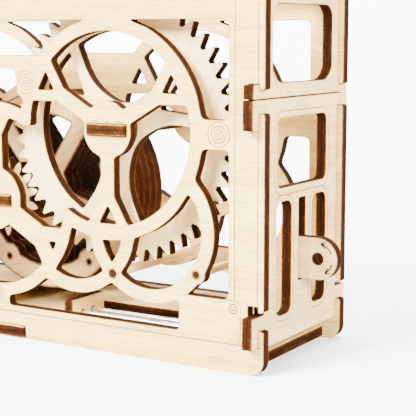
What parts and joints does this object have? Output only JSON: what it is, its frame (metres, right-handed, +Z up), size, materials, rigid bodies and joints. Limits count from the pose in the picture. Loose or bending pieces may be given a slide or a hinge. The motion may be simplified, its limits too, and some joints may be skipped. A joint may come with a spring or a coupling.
{
  "type": "wooden 3d jigsaw model",
  "caption": "Laser-cut plywood mechanical puzzle: two spoked gears turn a layered drum inside a fretwork frame with a finger lever.",
  "frame": {"origin": "below the middle of the whole width and depth, on the surface that the feet stand on", "axes": "+X along the width, towards the side with the finger lever; +Y from the front panel to the back panel; +Z up"},
  "size_m": [0.1924, 0.0564, 0.1055],
  "materials": {
    "birch_ply": "raw birch veneer with charred laser-cut edges",
    "drum_ply": "raw birch veneer with dark charred rims",
    "bright_steel": "bright drawn wire"
  },
  "bodies": {
    "frame": {"axle_centre": "birch_ply", "axle_left": "birch_ply", "axle_right": "birch_ply", "back_panel": "birch_ply", "base_board": "birch_ply", "bearing_back_centre": "birch_ply", "bearing_front_centre": "birch_ply", "bearing_front_left": "birch_ply", "bearing_front_right": "birch_ply", "collar_back_centre": "birch_ply", "collar_back_left": "birch_ply", "collar_back_right": "birch_ply", "corner_dowel_left": "birch_ply", "front_panel": "birch_ply", "lever_collar_back": "birch_ply", "lever_collar_front": "birch_ply", "lever_pin": "birch_ply", "rib_inner_left": "birch_ply", "rib_inner_right": "birch_ply", "rib_outer_left": "birch_ply", "rib_outer_right": "birch_ply", "shelf": "birch_ply", "side_panel_left": "birch_ply", "side_panel_right": "birch_ply", "steel_rod_back_left": "bright_steel", "steel_rod_back_right": "bright_steel", "steel_rod_front_left": "bright_steel", "steel_rod_front_right": "bright_steel", "tie_dowel_left": "birch_ply", "tie_dowel_right": "birch_ply", "top_frame": "birch_ply", "upper_side_left": "birch_ply", "upper_side_right": "birch_ply", "washer_back_left": "birch_ply", "washer_back_right": "birch_ply", "washer_front_centre": "birch_ply", "washer_front_left": "birch_ply", "washer_front_right": "birch_ply"},
    "drum": {"pinion": "birch_ply", "drum_disc_1": "drum_ply", "drum_disc_2": "drum_ply", "drum_disc_3": "drum_ply", "drum_disc_4": "drum_ply", "drum_disc_5": "drum_ply", "drum_disc_6": "drum_ply", "drum_spacer_1": "drum_ply", "drum_spacer_2": "drum_ply", "drum_spacer_3": "drum_ply", "drum_spacer_4": "drum_ply"},
    "right_wheel": {"gear_right": "birch_ply"},
    "left_wheel": {"gear_left": "birch_ply"},
    "finger_lever": {"lever": "birch_ply"}
  },
  "joints": [
    {"name": "drum_spin", "type": "hinge", "parent": "frame", "child": "drum", "pos_m": [-0.00495, 0, 0.041], "axis": [0, 1, 0], "continuous": true},
    {"name": "right_wheel_spin", "type": "hinge", "parent": "frame", "child": "right_wheel", "pos_m": [0.03655, 0, 0.0633], "axis": [0, 1, 0], "continuous": true},
    {"name": "left_wheel_spin", "type": "hinge", "parent": "frame", "child": "left_wheel", "pos_m": [-0.04645, 0, 0.0633], "axis": [0, 1, 0], "continuous": true},
    {"name": "lever_swing", "type": "hinge", "parent": "frame", "child": "finger_lever", "pos_m": [0.06555, 0, 0.0255], "axis": [0, -1, 0], "range_deg": [0, 25]}
  ],
  "couplings": [
    {"joint": "right_wheel_spin", "follows": "drum_spin", "ratio": -0.28},
    {"joint": "left_wheel_spin", "follows": "drum_spin", "ratio": -0.28}
  ]
}
